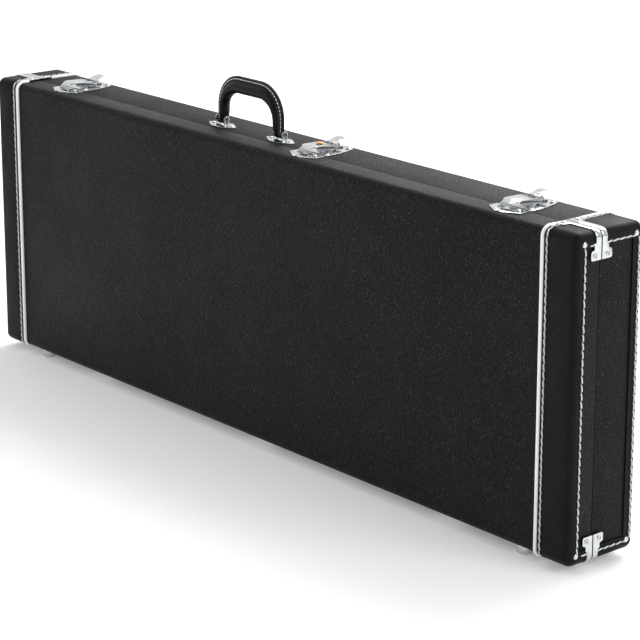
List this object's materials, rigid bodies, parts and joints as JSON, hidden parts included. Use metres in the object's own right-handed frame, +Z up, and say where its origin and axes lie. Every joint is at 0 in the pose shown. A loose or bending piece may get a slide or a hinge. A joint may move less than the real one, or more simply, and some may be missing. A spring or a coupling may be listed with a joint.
{
  "type": "guitar case",
  "caption": "Rectangular hard-shell guitar case in black grained vinyl with leather end caps, white piping, nickel draw latches, clips and an arched carrying handle.",
  "frame": {"origin": "on the floor under the middle of the case, at the bottom of the feet", "axes": "+X along the case's length to the right of someone facing the lid, +Y from the lid to the back of the base, +Z up to the handle"},
  "size_m": [1.065, 0.103, 0.433],
  "materials": {
    "plywood": "raw birch plywood",
    "vinyl": "pebble-grained black vinyl cloth",
    "leather": "smooth black, satin",
    "piping": "white plastic welt",
    "lining": "black short-pile plush",
    "nickel": "satin nickel plating",
    "steel": "plain drawn wire and strip",
    "brass": "turned brass"
  },
  "bodies": {
    "base": {"base_board_top": "plywood", "base_board_bottom": "plywood", "base_board_left": "plywood", "base_board_right": "plywood", "base_panel": "plywood", "base_covering": "vinyl", "base_cap_left": "leather", "base_cap_right": "leather", "base_end_clips": "nickel", "base_piping": "piping", "locating_lip": "lining", "base_floor_pad": "lining", "bay_pads": "lining", "neck_rest": "lining", "accessory_box": "plywood", "accessory_hinge_pin": "steel", "base_feet": "nickel", "base_hinge_leaves": "nickel", "hinge_pins": "steel", "latch_plate_left": "nickel", "latch_plate_center": "nickel", "latch_plate_right": "nickel", "latch_pivot_pins": "steel", "handle_post_plates": "nickel", "handle_pins": "steel", "base_screws": "nickel", "base_rivets": "nickel"},
    "lid": {"lid_board_top": "plywood", "lid_board_bottom": "plywood", "lid_board_left": "plywood", "lid_board_right": "plywood", "lid_panel": "plywood", "lid_covering": "vinyl", "lid_cap_left": "leather", "lid_cap_right": "leather", "lid_end_clips": "nickel", "lid_piping": "piping", "lid_pad": "lining", "lid_feet": "nickel", "lid_hinge_leaves": "nickel", "latch_catch_left": "nickel", "latch_catch_center": "nickel", "latch_catch_right": "nickel", "lid_screws": "nickel", "lid_rivets": "nickel"},
    "lever_left": {"latch_lever_left": "nickel", "latch_link_rivets_left": "nickel"},
    "draw_left": {"latch_draw_left": "nickel"},
    "lever_center": {"latch_lever_center": "nickel", "latch_link_rivets_center": "nickel"},
    "draw_center": {"latch_draw_center": "nickel"},
    "lever_right": {"latch_lever_right": "nickel", "latch_link_rivets_right": "nickel"},
    "draw_right": {"latch_draw_right": "nickel"},
    "lock": {"lock_barrel": "brass"},
    "handle": {"handle_grip": "leather", "handle_core": "steel"},
    "accessory_lid": {"accessory_lid": "lining", "accessory_pull_tab": "leather"}
  },
  "joints": [
    {"name": "lid_hinge", "type": "hinge", "parent": "base", "child": "lid", "pos_m": [0, -0.014, 0.0066], "axis": [1, 0, 0], "range_deg": [0, 105]},
    {"name": "latch_lever_left", "type": "hinge", "parent": "base", "child": "lever_left", "pos_m": [-0.405, 0.014, 0.3735], "axis": [1, 0, 0], "range_deg": [0, 80]},
    {"name": "latch_draw_left", "type": "hinge", "parent": "lever_left", "child": "draw_left", "pos_m": [-0.405, 0.019, 0.372], "axis": [1, 0, 0], "range_deg": [-92, 0]},
    {"name": "latch_lever_center", "type": "hinge", "parent": "base", "child": "lever_center", "pos_m": [0.075, 0.014, 0.3735], "axis": [1, 0, 0], "range_deg": [0, 80]},
    {"name": "latch_draw_center", "type": "hinge", "parent": "lever_center", "child": "draw_center", "pos_m": [0.075, 0.019, 0.372], "axis": [1, 0, 0], "range_deg": [-92, 0]},
    {"name": "latch_lever_right", "type": "hinge", "parent": "base", "child": "lever_right", "pos_m": [0.405, 0.014, 0.3735], "axis": [1, 0, 0], "range_deg": [0, 80]},
    {"name": "latch_draw_right", "type": "hinge", "parent": "lever_right", "child": "draw_right", "pos_m": [0.405, 0.019, 0.372], "axis": [1, 0, 0], "range_deg": [-92, 0]},
    {"name": "lock_turn", "type": "hinge", "parent": "draw_center", "child": "lock", "pos_m": [0.072, 0, 0.376], "axis": [0, 0, 1], "range_deg": [0, 90]},
    {"name": "handle_swing", "type": "hinge", "parent": "base", "child": "handle", "pos_m": [-0.055, 0, 0.376], "axis": [1, 0, 0], "range_deg": [-80, 80]},
    {"name": "accessory_lid_hinge", "type": "hinge", "parent": "base", "child": "accessory_lid", "pos_m": [0.0976, -0.0074, 0.0248], "axis": [1, 0, 0], "range_deg": [0, 80]}
  ],
  "couplings": [
    {"joint": "latch_draw_left", "follows": "latch_lever_left", "ratio": -1.15},
    {"joint": "latch_draw_center", "follows": "latch_lever_center", "ratio": -1.15},
    {"joint": "latch_draw_right", "follows": "latch_lever_right", "ratio": -1.15},
    {"joint": "accessory_lid_hinge", "follows": "lid_hinge", "ratio": 0.75}
  ]
}
